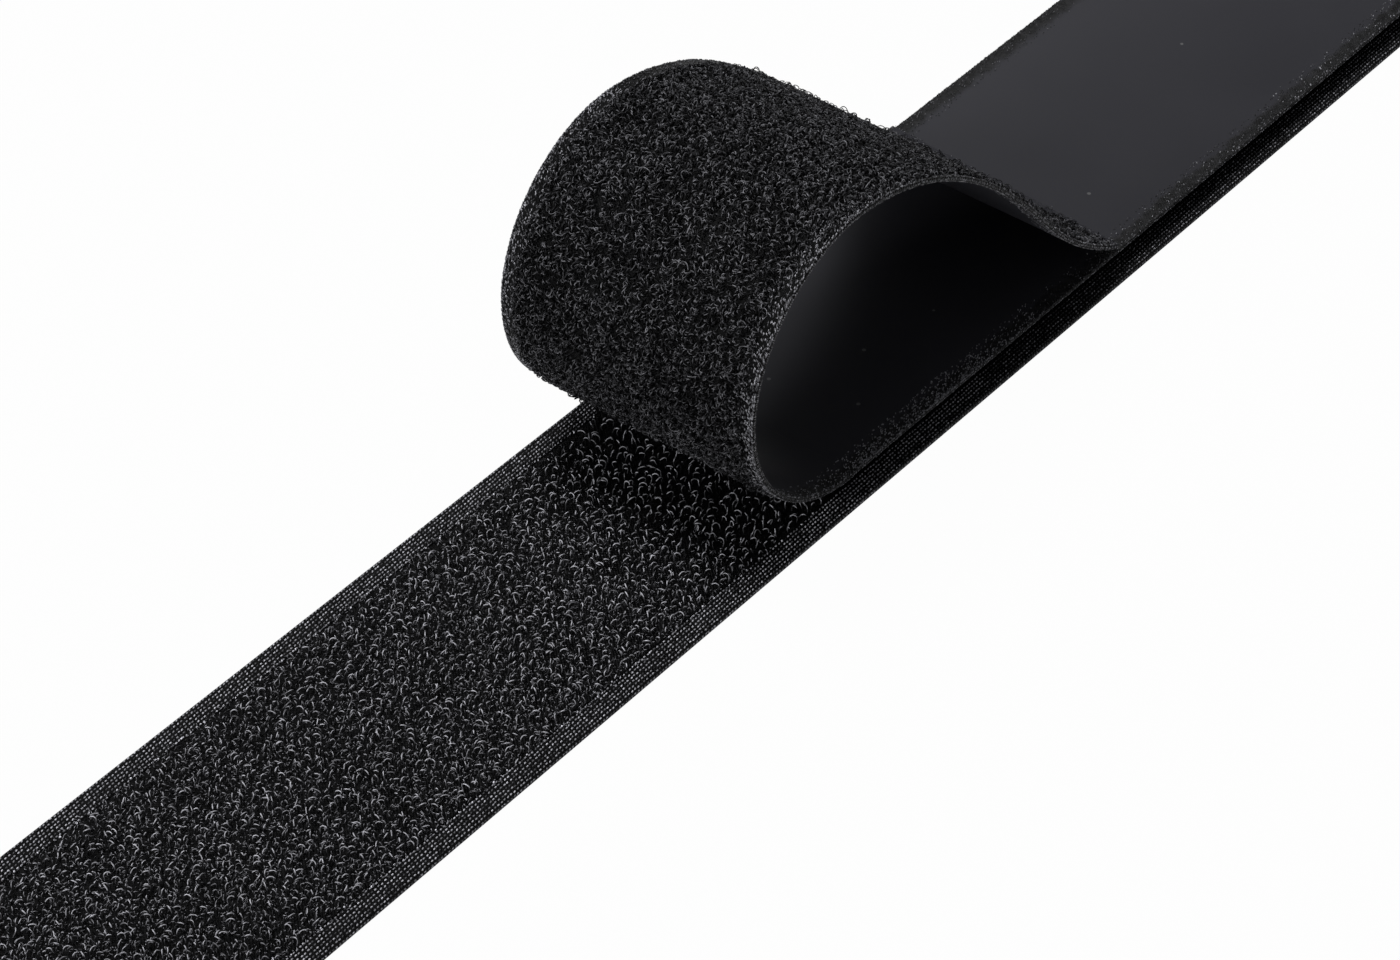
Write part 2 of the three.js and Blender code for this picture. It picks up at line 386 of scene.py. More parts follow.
# %% [markdown]
# ## The way the tape runs
# The flap is a chain of short straight solids, each turning about a hinge line. Real tape bends smoothly, so
# the dressed tape runs along arcs that touch each solid at its middle. An arc needs only the hinge, the way
# the tape is heading and the bend, and the frame's joints give all three. Places on the tape are then
# written as they would be on the flat cut: how far along, how far across, and how high above the coated face.
# One more arc bends the last few millimetres up again, so that the free end lands on the tape's own back.
# Its cut is slanted: the far corner runs on until it lies flat.

# %% Tape measures
COAT = 0.2 * MM
WEB = 0.6 * MM
PILE = 0.6 * MM
TAPE = COAT + WEB + PILE
WIDTH = 50.0 * MM
LOOP_SELVEDGE = 2.0 * MM

pressed_low, pressed_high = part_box("loop_coating_pressed")
BACK_Z = pressed_high.z
LOOP_MIDDLE = (pressed_low.y + pressed_high.y) / 2
PRESSED_END = pressed_high.x
joints = frame["joints"]
LINK = (Vector(joints[1]["pos_m"]) - Vector(joints[0]["pos_m"])).length
bodies = [joints[0]["parent"]] + [j["child"] for j in joints]


# %% Arcs from the joints
def heading_of(angle):
    return Vector((math.cos(angle), 0.0, math.sin(angle)))


def bend_arcs():
    heading = math.pi
    along = 0.0
    arcs = []
    for joint in joints:
        bend = math.radians(joint["range_deg"][1]) * -joint["axis"][1]
        radius = LINK / 2 / math.tan(bend / 2)
        hinge = Vector((joint["pos_m"][0], LOOP_MIDDLE, joint["pos_m"][2]))
        arc = {
            "heading": heading,
            "bend": bend,
            "radius": radius,
            "start": hinge - heading_of(heading) * (LINK / 2),
            "end": hinge + heading_of(heading - bend) * (LINK / 2),
            "back": 0.0 if bend > 0 else TAPE,
            "along": along,
            "length": radius * bend,
        }
        arcs.append(arc)
        along += arc["length"]
        heading -= bend
    return arcs


arcs = bend_arcs()
FLAP_END = arcs[-1]["along"] + arcs[-1]["length"] + LINK / 2
print("flap length along its coated face in mm:", round((FLAP_END - LINK / 2) / MM, 1))


def tape_frame(along):
    """Point on the coated face, direction of the tape, and the coated face's normal."""
    arc = arcs[0]
    for candidate in arcs:
        if candidate["along"] <= along:
            arc = candidate
    past = along - arc["along"]
    turned = arc["bend"] * min(max(past / arc["length"], 0.0), 1.0)
    before = arc["heading"]
    after = before - turned
    radius = arc["radius"]
    step = Vector((math.sin(before) - math.sin(after), 0.0, math.cos(after) - math.cos(before))) * radius
    straight = min(past, 0.0) + max(past - arc["length"], 0.0)
    direction = heading_of(after)
    normal = heading_of(after - math.pi / 2)
    point = arc["start"] + step + direction * straight + normal * arc["back"]
    return point, direction, normal


# %% Landing of the free end
LANDING_FROM = FLAP_END - 3.0 * MM
TOUCHING = 0.05 * MM
landing_point, landing_direction, _ = tape_frame(LANDING_FROM)
slope = math.asin(-landing_direction.z)
landing_radius = (landing_point.z - BACK_Z - TOUCHING) / (1.0 - math.cos(slope))
arcs.append({
    "heading": math.pi * 2 - slope,
    "bend": -slope,
    "radius": -landing_radius,
    "start": landing_point,
    "back": 0.0,
    "along": LANDING_FROM,
    "length": landing_radius * slope,
})
LANDED = LANDING_FROM + landing_radius * slope
SLANT = (LANDED - FLAP_END) / WIDTH
print("the free end runs on in mm:", round((LANDED - FLAP_END) / MM, 2))
print("slope of the fall in degrees:", round(math.degrees(slope), 1))


def end_at(across):
    """How far along the slanted cut of the free end lies at a place across the tape."""
    return FLAP_END + SLANT * (across + WIDTH / 2)


def lay_on_tape(place):
    point, _, normal = tape_frame(place.x)
    return point + Vector((0.0, place.y, 0.0)) + normal * place.z


def tape_matrix(along, across, height):
    """Axes for something that stands on the pile side: along the tape, across it, and out of the pile."""
    point, direction, normal = tape_frame(along)
    place = point + Vector((0.0, across, 0.0)) + normal * height
    turned = Matrix((direction, Vector((0.0, 1.0, 0.0)), -normal)).transposed().to_4x4()
    return Matrix.Translation(place) @ turned


# %% [markdown]
# ## Tools for soft strips and yarns
# A strip starts as a flat slab with rounded long edges, is cut across so that it can bend, and keeps its
# flat places as a UV map. A yarn starts as a small disc that is extruded along its way. Yarns are made once
# as stamps, and a stamp is planted many times.

# %% Strip and yarn tools
END_CUT = 0.05 * MM
ROUND_SEGMENTS = 3
END_FACING = 0.9


def slab(low, high, soften, cut_length):
    bm = bmesh.new()
    middle = (low + high) / 2
    length = high.x - low.x
    made = bmesh.ops.create_cube(bm, size=1.0)["verts"]
    bmesh.ops.scale(bm, vec=high - low, verts=made)
    bmesh.ops.translate(bm, vec=middle, verts=made)
    edges = {e for v in made for e in v.link_edges}
    long_edges = [e for e in edges if abs(e.verts[0].co.x - e.verts[1].co.x) > length / 2]
    bmesh.ops.bevel(bm, geom=long_edges, offset=soften, offset_type="OFFSET", segments=ROUND_SEGMENTS,
                    profile=0.5, affect="EDGES", material=-1, clamp_overlap=True)
    cuts = max(1, round(length / cut_length))
    places = [low.x + length * k / cuts for k in range(1, cuts)]
    for x in [low.x + END_CUT] + places + [high.x - END_CUT]:
        geom = bm.verts[:] + bm.edges[:] + bm.faces[:]
        bmesh.ops.bisect_plane(bm, geom=geom, plane_co=(x, middle.y, middle.z), plane_no=(1.0, 0.0, 0.0))
    bm.normal_update()
    for face in bm.faces:
        face.smooth = abs(face.normal.x) < END_FACING
    return bm


def keep_flat_cut(bm, middle=0.0):
    layer = bm.loops.layers.uv.new("flat_cut")
    for face in bm.faces:
        for loop in face.loops:
            place = loop.vert.co
            loop[layer].uv = (place.x / WIDTH, (place.y - middle) / WIDTH + 0.5)


def disc(bm, sides, thickness, matrix):
    """The small disc that a strand starts from, as its face."""
    ring = bmesh.ops.create_circle(bm, cap_ends=True, segments=sides, radius=thickness / 2, matrix=matrix)
    return ring["verts"][0].link_faces[0]


def draw_yarn(bm, points, thickness, sides):
    tangent = (points[1] - points[0]).normalized()
    face_on = Vector((0.0, 0.0, 1.0)).rotation_difference(tangent).to_matrix().to_4x4()
    tip = disc(bm, sides, thickness, Matrix.Translation(points[0]) @ face_on)
    for k in range(1, len(points)):
        grown = bmesh.ops.extrude_face_region(bm, geom=[tip])["geom"]
        moved = [g for g in grown if isinstance(g, bmesh.types.BMVert)]
        tip = next(g for g in grown if isinstance(g, bmesh.types.BMFace))
        bmesh.ops.translate(bm, vec=points[k] - points[k - 1], verts=moved)
        ahead = points[min(k + 1, len(points) - 1)] - points[k - 1]
        turn = tangent.rotation_difference(ahead.normalized()).to_matrix()
        bmesh.ops.rotate(bm, cent=points[k], matrix=turn, verts=moved)
        tangent = ahead.normalized()


def as_stamp(bm, name, finish_index=0, highlight_index=0, highlight_from=None):
    bmesh.ops.recalc_face_normals(bm, faces=bm.faces[:])
    stamp = bpy.data.meshes.new(name)
    for face in bm.faces:
        face.smooth = True
        # Faces above highlight_from take highlight_index: the painted highlight on the top of a hook's arch.
        in_highlight = highlight_from is not None and face.calc_center_median().z > highlight_from
        face.material_index = highlight_index if in_highlight else finish_index
    bm.to_mesh(stamp)
    bm.free()
    return stamp


def plant(bm, stamp, matrix):
    stamp.transform(matrix)
    bm.from_mesh(stamp, face_normals=False, vertex_normals=False)
    stamp.transform(matrix.inverted())


def turned_by(degrees):
    return Matrix.Rotation(math.radians(degrees), 4, "Z")


def any_way_round(draw):
    return Matrix.Rotation(draw.uniform(0.0, 2 * math.pi), 4, "Z")


def finish_piece(bm, name, finishes):
    mesh = bpy.data.meshes.new(name)
    bm.to_mesh(mesh)
    bm.free()
    for finish in finishes:
        mesh.materials.append(finish)
    made = bpy.data.objects.new(name, mesh)
    bpy.context.scene.collection.objects.link(made)
    return made


# %% [markdown]
# ## Stamps
# A hook is a stiff strand that stands up, turns over in a tight arch and ends in the air, where the weaver
# cut the loop open. It is extruded for its stem and spun for its arch. A pile loop is a thinner strand that
# rises, wanders and goes back down, and a few longer ones stand up as fuzz. A knot is the short stretch of a
# thread that shows between two crossings, and a speck is a thread's end. Lengths that are drawn at random
# are given in millimetres. A hook has a darker stem and a lighter arch top, a painted highlight, and the
# other yarns have one shade.

# %% Hook stamps
HOOK_KINDS = 24
HOOK_STEM_AND_HIGHLIGHT = ((0, 1), (0, 2), (1, 2))
HOOK_STRAND = 0.18 * MM
HOOK_ROOT = 0.1 * MM
HOOK_SIDES = 4
HOOK_STEM = (0.5, 0.9)
HOOK_SWAY = 0.35
HOOK_RADIUS = (0.3, 0.66)
HOOK_TURN = (80, 185)
HOOK_ASIDE = 0.1
HOOK_LEAN = 25
ARCH_STEPS = 6
# Above this share of the arch's radius a hook wears its lighter shade, a painted highlight on the arch top.
PAINTED_HIGHLIGHT_FROM = 0.55


def hook_stamp(name, draw, shades):
    stem = draw.uniform(*HOOK_STEM) * MM
    sway = draw.uniform(-HOOK_SWAY, HOOK_SWAY) * MM
    radius = draw.uniform(*HOOK_RADIUS) * MM
    turn = math.radians(draw.uniform(*HOOK_TURN))
    aside = draw.uniform(-HOOK_ASIDE, HOOK_ASIDE) * MM
    lean = Matrix.Rotation(math.radians(draw.uniform(-HOOK_LEAN, HOOK_LEAN)), 3, "X")
    bm = bmesh.new()
    foot = disc(bm, HOOK_SIDES, HOOK_STRAND, Matrix.Translation((0.0, 0.0, -HOOK_ROOT)))
    grown = bmesh.ops.extrude_face_region(bm, geom=[foot])["geom"]
    top = [g for g in grown if isinstance(g, bmesh.types.BMVert)]
    bmesh.ops.translate(bm, vec=(sway, 0.0, stem + HOOK_ROOT), verts=top)
    bmesh.ops.spin(bm, geom=grown, cent=(sway + radius, 0.0, stem), axis=(0.0, 1.0, 0.0),
                   dvec=(0.0, aside, 0.0), angle=turn, steps=ARCH_STEPS, use_merge=False, use_duplicate=False)
    bmesh.ops.rotate(bm, cent=(0.0, 0.0, 0.0), matrix=lean, verts=bm.verts[:])
    return as_stamp(bm, name, shades[0], shades[1], stem + PAINTED_HIGHLIGHT_FROM * radius)


draw = random.Random(11)
hook_stamps = [hook_stamp(f"hook_stamp_{k}", draw, HOOK_STEM_AND_HIGHLIGHT[k % 3]) for k in range(HOOK_KINDS)]
print("faces in one hook:", len(hook_stamps[0].polygons))

# %% Pile stamps
PILE_STRAND = 0.16 * MM
ROOT = 0.05 * MM
STRAND_SIDES = 3
LOOP_CURL = (0.2, 0.75)
LOOP_WANDER = (0.5, 1.4)
LOOP_FULLNESS = 0.6


def loop_stamp(name, draw, rise, reach, steps, shade_index):
    heading = 0.0
    curl = draw.choice((-1, 1)) * draw.uniform(*LOOP_CURL)
    place = Vector((-reach / 3, 0.0, -ROOT))
    points = [place.copy()]
    for k in range(1, steps + 1):
        heading += curl * draw.uniform(*LOOP_WANDER)
        place += Vector((math.cos(heading), math.sin(heading), 0.0)) * (reach / steps)
        lift = rise * math.sin(math.pi * k / steps) ** LOOP_FULLNESS if k < steps else -ROOT
        points.append(Vector((place.x, place.y, lift)))
    bm = bmesh.new()
    draw_yarn(bm, points, PILE_STRAND, STRAND_SIDES)
    return as_stamp(bm, name, shade_index)


def loop_kinds(name, draw, count, rises, reaches, steps):
    kinds = []
    for k in range(count):
        rise = draw.uniform(*rises) * MM
        reach = draw.uniform(*reaches) * MM
        kinds.append(loop_stamp(f"{name}_{k}", draw, rise, reach, steps, k % 3))
    return kinds


draw = random.Random(12)
loop_stamps = loop_kinds("loop_stamp", draw, 36, rises=(0.25, 0.6), reaches=(0.65, 1.35), steps=3)
fuzz_stamps = loop_kinds("fuzz_stamp", draw, 9, rises=(0.7, 1.2), reaches=(1.4, 2.3), steps=6)
print("faces in one loop:", len(loop_stamps[0].polygons))

# %% Knot stamps
KNOT_FOOT = 0.5
KNOT_TOP = 0.3


def knot_stamp(name, size, sides, shade_index):
    bm = bmesh.new()
    bmesh.ops.create_cone(bm, cap_ends=True, segments=sides, radius1=KNOT_FOOT, radius2=KNOT_TOP, depth=1.0)
    bmesh.ops.scale(bm, vec=[v * MM for v in size], verts=bm.verts[:])
    return as_stamp(bm, name, shade_index)


def three_knots(name, size, sides):
    return [knot_stamp(f"{name}_{k}", size, sides, k) for k in range(3)]


GLINT_INDEX = 4
edge_knots = three_knots("edge_knot", (0.62, 0.33, 0.2), 6)
painted_glint_stamp = knot_stamp("pale_knots", (0.5, 0.36, 0.3), 6, GLINT_INDEX)
edge_dashes = three_knots("edge_dash", (0.6, 0.24, 0.16), 4)
edge_beads = three_knots("edge_bead", (0.4, 0.3, 0.3), 6)

# %% Speck stamps
SPECK_KINDS = 24
SPECK_STRAND = 0.13 * MM
SPECK_LENGTH = (0.4, 0.8)
SPECK_TILT = (5, 80)
SPECK_BEND = 0.3


def speck_stamp(name, draw, shade_index):
    length = draw.uniform(*SPECK_LENGTH) * MM
    tilt = math.radians(draw.uniform(*SPECK_TILT))
    bend = draw.uniform(-SPECK_BEND, SPECK_BEND) * length
    tip = heading_of(tilt) * length
    way = [Vector((0.0, 0.0, -ROOT)), tip / 2 + Vector((0.0, bend, 0.0)), tip]
    bm = bmesh.new()
    draw_yarn(bm, way, SPECK_STRAND, STRAND_SIDES)
    return as_stamp(bm, name, shade_index)


draw = random.Random(13)
specks = [speck_stamp(f"speck_{k}", draw, k % 3) for k in range(SPECK_KINDS)]
dark_specks = specks[::3]
print("faces in one knot and one speck:", len(edge_knots[0].polygons), len(specks[0].polygons))

# %% [markdown]
# ## Hook tape
# The lower tape is a flat web between two woven edges, on a coated back. The edges are what a sewing machine
# stitches through. They show rows of slanting knots on top and down the side, with fewer light ones along the
# loop tape as painted shade, and mostly light ones in the inner rows beside the curl as painted light. A few
# pale knots, painted glints, stand where they meet the web. The web carries the hooks, in staggered rows that
# were cut open in alternating directions, and specks of yarn show on the ground between them. Towards the
# curl, where the ground lies in shade, more and more of the specks are dark, a painted shade. Yarn ends stand
# out of both cuts.

# %% Hook tape back and web
back_low, back_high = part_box("hook_coating")
web_low, web_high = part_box("hook_web")
WEB_TOP = web_high.z
CUT = 5.0 * MM
BACK_ROUND = 0.08 * MM
WEB_ROUND = 0.1 * MM

bm = slab(back_low, back_high, BACK_ROUND, CUT)
keep_flat_cut(bm)
hook_back = finish_piece(bm, "hook_tape_back", [hook_coat])
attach(hook_back, bodies[0])
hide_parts("hook_coating")

bm = slab(web_low, web_high, WEB_ROUND, CUT)
keep_flat_cut(bm)
hook_web = finish_piece(bm, "hook_tape_web", [hook_ground])
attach(hook_web, bodies[0])
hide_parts("hook_web")

# %% Woven edges of the hook tape
SELVEDGE_ROUND = 0.2 * MM
GROUND_INDEX = 3
KNOT_ROWS = 6
KNOT_PITCH = 0.74 * MM
KNOT_STAGGER = 0.35
KNOT_SCATTER = 0.14
KNOT_SLANT = 7
KNOT_SWING = 14
KNOT_ASIDE = 0.08
SIDE_HEIGHTS = (0.3 * MM, 0.6 * MM)
SIDE_SCATTER = 0.15
SIDE_SWING = 15
# The light share falls off along the loop tape as painted shade, and the inner rows beside the curl are
# mostly light, painted light in its shadow.
SELVEDGE_SHADE_FROM = 5.0 * MM
SELVEDGE_SHADE_FADE = 45.0 * MM
BESIDE_CURL = (-8.0 * MM, 40.0 * MM)
CURL_PAINTED_LIGHT_SHARES = (0, 2, 9)


def edge_shares(x, row=0):
    """Shares of dark, middle and light knots: painted shade gives fewer light ones beside the loop tape,
    painted light more beside its curl.
    """
    coat_or_painted_shade = min(max((x - SELVEDGE_SHADE_FROM) / SELVEDGE_SHADE_FADE, 0.0), 1.0)
    if row > 1 and BESIDE_CURL[0] < x < BESIDE_CURL[1]:
        return CURL_PAINTED_LIGHT_SHARES
    return 2 + 6 * coat_or_painted_shade, 5, 4 * (1.0 - coat_or_painted_shade)


def knot_rows(bm, box, top, draw):
    low, high = box
    first = low.x + KNOT_PITCH / 2
    last = high.x - KNOT_PITCH / 2
    spacing = (high.y - low.y) / KNOT_ROWS
    for row in range(KNOT_ROWS):
        y = low.y + (row + 0.5) * spacing
        for k in range(int((high.x - low.x) / KNOT_PITCH)):
            set_over = KNOT_STAGGER * row % 1.0 - 0.5 + draw.uniform(-KNOT_SCATTER, KNOT_SCATTER)
            x = min(max(low.x + (k + 0.5 + set_over) * KNOT_PITCH, first), last)
            turn = turned_by(KNOT_SLANT + draw.uniform(-KNOT_SWING, KNOT_SWING))
            stamp = draw.choices(edge_knots, weights=edge_shares(x, row))[0]
            aside = draw.uniform(-KNOT_ASIDE, KNOT_ASIDE) * MM
            plant(bm, stamp, Matrix.Translation((x, y + aside, top)) @ turn)


def side_rows(bm, box, outside, draw):
    low, high = box
    y = high.y if outside > 0 else low.y
    facing = Matrix.Rotation(-outside * math.pi / 2, 4, "X")
    for z in SIDE_HEIGHTS:
        for k in range(int((high.x - low.x) / KNOT_PITCH)):
            x = low.x + (k + 0.5 + draw.uniform(-SIDE_SCATTER, SIDE_SCATTER)) * KNOT_PITCH
            turn = turned_by(draw.uniform(-SIDE_SWING, SIDE_SWING))
            stamp = draw.choices(edge_knots, weights=edge_shares(x))[0]
            plant(bm, stamp, Matrix.Translation((x, y, z)) @ facing @ turn)


PALE_FIRST = (1.0, 4.0)
PALE_STEP = (2.4, 5.6)
PALE_ASIDE = 0.25
PALE_SIZE = (0.6, 1.0)
PALE_LIFT = 0.05 * MM
PALE_INSET = 0.15 * MM
PALE_CLEAR = 1.0 * MM


# Pale knots along the border of the web, painted glints.
def border_knots(bm, low, high, y, top, draw):
    x = low + draw.uniform(*PALE_FIRST) * MM
    while x < high - PALE_CLEAR:
        turn = Matrix.Rotation(draw.uniform(0.0, math.pi), 4, "Z")
        aside = draw.uniform(-PALE_ASIDE, PALE_ASIDE) * MM
        size = Matrix.Scale(draw.uniform(*PALE_SIZE), 4)
        plant(bm, painted_glint_stamp, Matrix.Translation((x, y + aside, top + PALE_LIFT)) @ turn @ size)
        x += draw.uniform(*PALE_STEP) * MM


for side in ("near", "far"):
    node = f"hook_selvedge_{side}"
    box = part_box(node)
    bm = slab(box[0], box[1], SELVEDGE_ROUND, CUT)
    keep_flat_cut(bm)
    for face in bm.faces:
        face.material_index = GROUND_INDEX
    outside = 1 if side == "far" else -1
    inner = box[0].y if side == "far" else box[1].y
    knot_rows(bm, box, WEB_TOP, random.Random(21))
    side_rows(bm, box, outside, random.Random(28))
    border_knots(bm, back_low.x, 0.0, inner + outside * PALE_INSET, WEB_TOP, random.Random(29))
    edge = finish_piece(bm, node + "_woven", selvedge_yarn + [hook_ground, painted_glint_knot])
    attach(edge, bodies[0])
    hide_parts(node)
    print(edge.name, "faces:", len(edge.data.polygons))

# %% Specks between the hooks
FIELDS = 4
EXPOSED = -back_low.x
SPECK_PITCH = 0.56 * MM
SPECK_SCATTER = 0.4
OVERLAP = 0.6 * MM
# Towards the curl more and more specks are dark ones: painted shade from the curl.
PAINTED_SHADE_REACH = (10, 38)
for field in range(FIELDS):
    bm = bmesh.new()
    draw = random.Random(22 + field)
    rows = int(EXPOSED / FIELDS / SPECK_PITCH)
    columns = int((web_high.y - web_low.y + 2 * OVERLAP) / SPECK_PITCH)
    for row in range(rows):
        for column in range(columns):
            x = -(field * rows + row + 0.5 + draw.uniform(-SPECK_SCATTER, SPECK_SCATTER)) * SPECK_PITCH
            step = (column + 0.5 + draw.uniform(-SPECK_SCATTER, SPECK_SCATTER)) * SPECK_PITCH
            y = web_low.y - OVERLAP + step
            turn = any_way_round(draw)
            in_painted_shade = x > -draw.uniform(*PAINTED_SHADE_REACH) * MM
            stamp = draw.choice(dark_specks if in_painted_shade else specks)
            plant(bm, stamp, Matrix.Translation((x, y, WEB_TOP)) @ turn)
    ground = finish_piece(bm, f"hook_ground_specks_{field + 1}", ground_yarn)
    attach(ground, bodies[0])
    print(ground.name, "faces:", len(ground.data.polygons))

# %% Cut ends of the hook tape
CUT_SPREAD = 0.99
CUT_SWING = (65, 115)
CUT_SIZE = (0.4, 0.8)
OUT_OF_END = Matrix.Rotation(math.pi / 2, 4, "Y")
OUT_OF_START = Matrix.Rotation(-math.pi / 2, 4, "Y")


def cut_yarns(bm, draw, count, sides, heights, place_at, outward):
    """Yarn ends that stand out of a cut, lying over to one side or the other."""
    for _ in range(count):
        across = draw.uniform(*sides) * CUT_SPREAD
        height = draw.uniform(*heights)
        turn = Matrix.Rotation(draw.choice((-1, 1)) * math.radians(draw.uniform(*CUT_SWING)), 4, "Z")
        size = Matrix.Scale(draw.uniform(*CUT_SIZE), 4)
        plant(bm, draw.choice(specks), place_at(across, height) @ outward @ turn @ size)


HOOK_CUT_YARNS = 200
hook_sides = (back_low.y, back_high.y)
hook_heights = (0.4 * MM, WEB_TOP)
bm = bmesh.new()
draw = random.Random(27)
for x, outward in ((back_low.x, OUT_OF_START), (back_high.x, OUT_OF_END)):
    cut_yarns(bm, draw, HOOK_CUT_YARNS, hook_sides, hook_heights,
              lambda y, z: Matrix.Translation((x, y, z)), outward)
hook_ends = finish_piece(bm, "hook_tape_cut_yarns", ground_yarn)
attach(hook_ends, bodies[0])

# %% Hooks
HOOK_PITCH = 1.45 * MM
HOOK_SCATTER = 0.22
HOOK_SWING = 0.95
for field in range(FIELDS):
    node = f"hook_field_{field + 1}"
    low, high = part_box(node)
    draw = random.Random(31 + field)
    bm = bmesh.new()
    rows = int((high.x - low.x) / HOOK_PITCH)
    columns = int((high.y - low.y) / HOOK_PITCH)
    for row in range(rows):
        for column in range(columns):
            staggered = column + 0.25 + 0.5 * (row % 2)
            x = low.x + (row + 0.5 + draw.uniform(-HOOK_SCATTER, HOOK_SCATTER)) * HOOK_PITCH
            y = low.y + (staggered + draw.uniform(-HOOK_SCATTER, HOOK_SCATTER)) * HOOK_PITCH
            facing = (0.0 if (row + column) % 2 else math.pi) + draw.gauss(0.0, HOOK_SWING)
            turn = Matrix.Rotation(facing, 4, "Z")
            stamp = draw.choice(hook_stamps)
            plant(bm, stamp, Matrix.Translation((x, y, WEB_TOP)) @ turn)
    hooks = finish_piece(bm, node + "_hooks", hook_nylon)
    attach(hooks, bodies[0])
    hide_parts(node)
    print(hooks.name, "hooks:", rows * columns, "faces:", len(hooks.data.polygons))

# %% [markdown]
# ## Loop tape
# The upper tape is one strip. It is cut into pieces at the middle of each solid, so that a piece spans one
# hinge and neighbours meet in the middle of a solid. Each piece has its coated and woven strip, its pile,
# and the dashes and beads of its woven edges. The dashes crowd towards the edge, and their shares of light
# ones are painted light and shade: many on the pile side up to the crest of the curl and on the back under
# it, few on the fall, on the exposed back further on and along far edges. Towards the free end the pile
# thins out over the worn web, and yarn ends stand out of the cut.

# %% Strips of loop tape
HALF = WIDTH / 2
PILE_HALF = HALF - LOOP_SELVEDGE
PILE_EDGE = PILE_HALF - 0.5 * MM
FULL_EDGE = HALF - 0.8 * MM
PILE_ROOT = -COAT - WEB
FREE_END = 5.0 * MM
STRIP_ROUND = 0.25 * MM
COATED_FACING = 0.6
worn_end = ((FLAP_END - 0.8 * FREE_END) / WIDTH, (FLAP_END - 0.2 * FREE_END) / WIDTH)
loop_ground = woven_finish("loop_ground", 560.0, 500.0, 0.12 * MM, worn_end, SLANT)


def loop_strip(name, start, stop, cut_length):
    bm = slab(Vector((start, -HALF, PILE_ROOT)), Vector((stop, HALF, 0.0)), STRIP_ROUND, cut_length)
    for vert in bm.verts:
        share = (vert.co.x - LANDING_FROM) / (LANDED - LANDING_FROM)
        if share > 0.0:
            vert.co.x = LANDING_FROM + share * (end_at(vert.co.y) - LANDING_FROM)
    keep_flat_cut(bm)
    bm.normal_update()
    for face in bm.faces:
        face.material_index = 0 if face.normal.z > COATED_FACING else 1
    for vert in bm.verts:
        vert.co = lay_on_tape(vert.co)
    bmesh.ops.recalc_face_normals(bm, faces=bm.faces[:])
    return finish_piece(bm, name, [loop_coat, loop_ground])


# %% Pile
FUZZ_SHARE = 0.02
LOOP_SIZE = (0.8, 1.2)


def pile_on(bm, draw, start, stop, low, high, density):
    """Plants loops, fewer and fewer towards the free end, and says how many were tried."""
    count = int((stop - start) * (high - low) * density / MM ** 2)
    for _ in range(count):
        along = draw.uniform(start, stop)
        across = draw.uniform(low, high)
        if draw.random() > (end_at(across) - along) / FREE_END:
            continue
        stamp = draw.choice(fuzz_stamps if draw.random() < FUZZ_SHARE else loop_stamps)
        turn = any_way_round(draw)
        size = Matrix.Scale(draw.uniform(*LOOP_SIZE), 4)
        plant(bm, stamp, tape_matrix(along, across, PILE_ROOT) @ turn @ size)
    return count


# %% Woven edges of the loop tape
EDGE_BAND = 3.8 * MM
EDGE_DENSITY = 3.5
EDGE_CROWDING = 2.2
DASH_INSET = 0.15 * MM
DASH_CLEAR = 0.3 * MM
DASH_SLANT = 22.0
DASH_SWING = 18.0
BEAD_PITCH = 0.35 * MM
BEAD_INSET = 0.08 * MM
BEAD_SWING = 25
BEAD_DEPTH = (0.4, 0.65)
BEAD_SHARES = (1, 2, 2)

# How many dashes are light differs by face and stretch as painted light and shade: more on the curl's rising
# side and under it, fewer on the fall, the exposed back and far edges.
EdgeFace = namedtuple("EdgeFace", "height over near_shares far_shares fullness")
PILE_SIDE = (PILE_ROOT, Matrix.Identity(4))
BACK_SIDE = (0.0, Matrix.Rotation(math.pi, 4, "X"))
PILE_FACE = EdgeFace(*PILE_SIDE, (2, 5, 3), (2, 5, 2), 2)
FALL_FACE = EdgeFace(*PILE_SIDE, (3, 5, 1), (5, 4, 0), 1)
BACK_FACE = EdgeFace(*BACK_SIDE, (1, 2, 4), (6, 2, 0), 1)
PAINTED_LIGHT_EDGE = EdgeFace(*BACK_SIDE, (1, 3, 8), (6, 2, 0), 2)
PAINTED_SHADE_EDGE = EdgeFace(*BACK_SIDE, (16, 7, 1), (6, 2, 0), 1)


def edge_dashes_on(bm, draw, start, stop, side, face):
    shares = face.near_shares if side < 0 else face.far_shares
    count = int((stop - start) * EDGE_BAND * EDGE_DENSITY / MM ** 2) * face.fullness
    for _ in range(count):
        across = side * (HALF - DASH_INSET - EDGE_BAND * draw.random() ** EDGE_CROWDING)
        along = draw.uniform(start, stop)
        turn = turned_by(draw.gauss(DASH_SLANT, DASH_SWING))
        stamp = draw.choices(edge_dashes, weights=shares)[0]
        if along < end_at(across) - DASH_CLEAR:
            plant(bm, stamp, tape_matrix(along, across, face.height) @ face.over @ turn)


def edge_beads_on(bm, draw, start, stop, side):
    count = 2 * int((stop - start) / (2 * BEAD_PITCH))
    for k in range(count):
        along = start + (k + 0.5) * (stop - start) / count
        turn = turned_by(draw.uniform(-BEAD_SWING, BEAD_SWING))
        place = tape_matrix(along, side * (HALF - BEAD_INSET), PILE_ROOT * draw.uniform(*BEAD_DEPTH))
        if along < end_at(side * HALF):
            plant(bm, draw.choices(edge_beads, weights=BEAD_SHARES)[0], place @ turn)


def edge_yarns(bm, draw, start, stop, faces):
    for side in (-1, 1):
        for face in faces:
            edge_dashes_on(bm, draw, start, stop, side, face)
        edge_beads_on(bm, draw, start, stop, side)


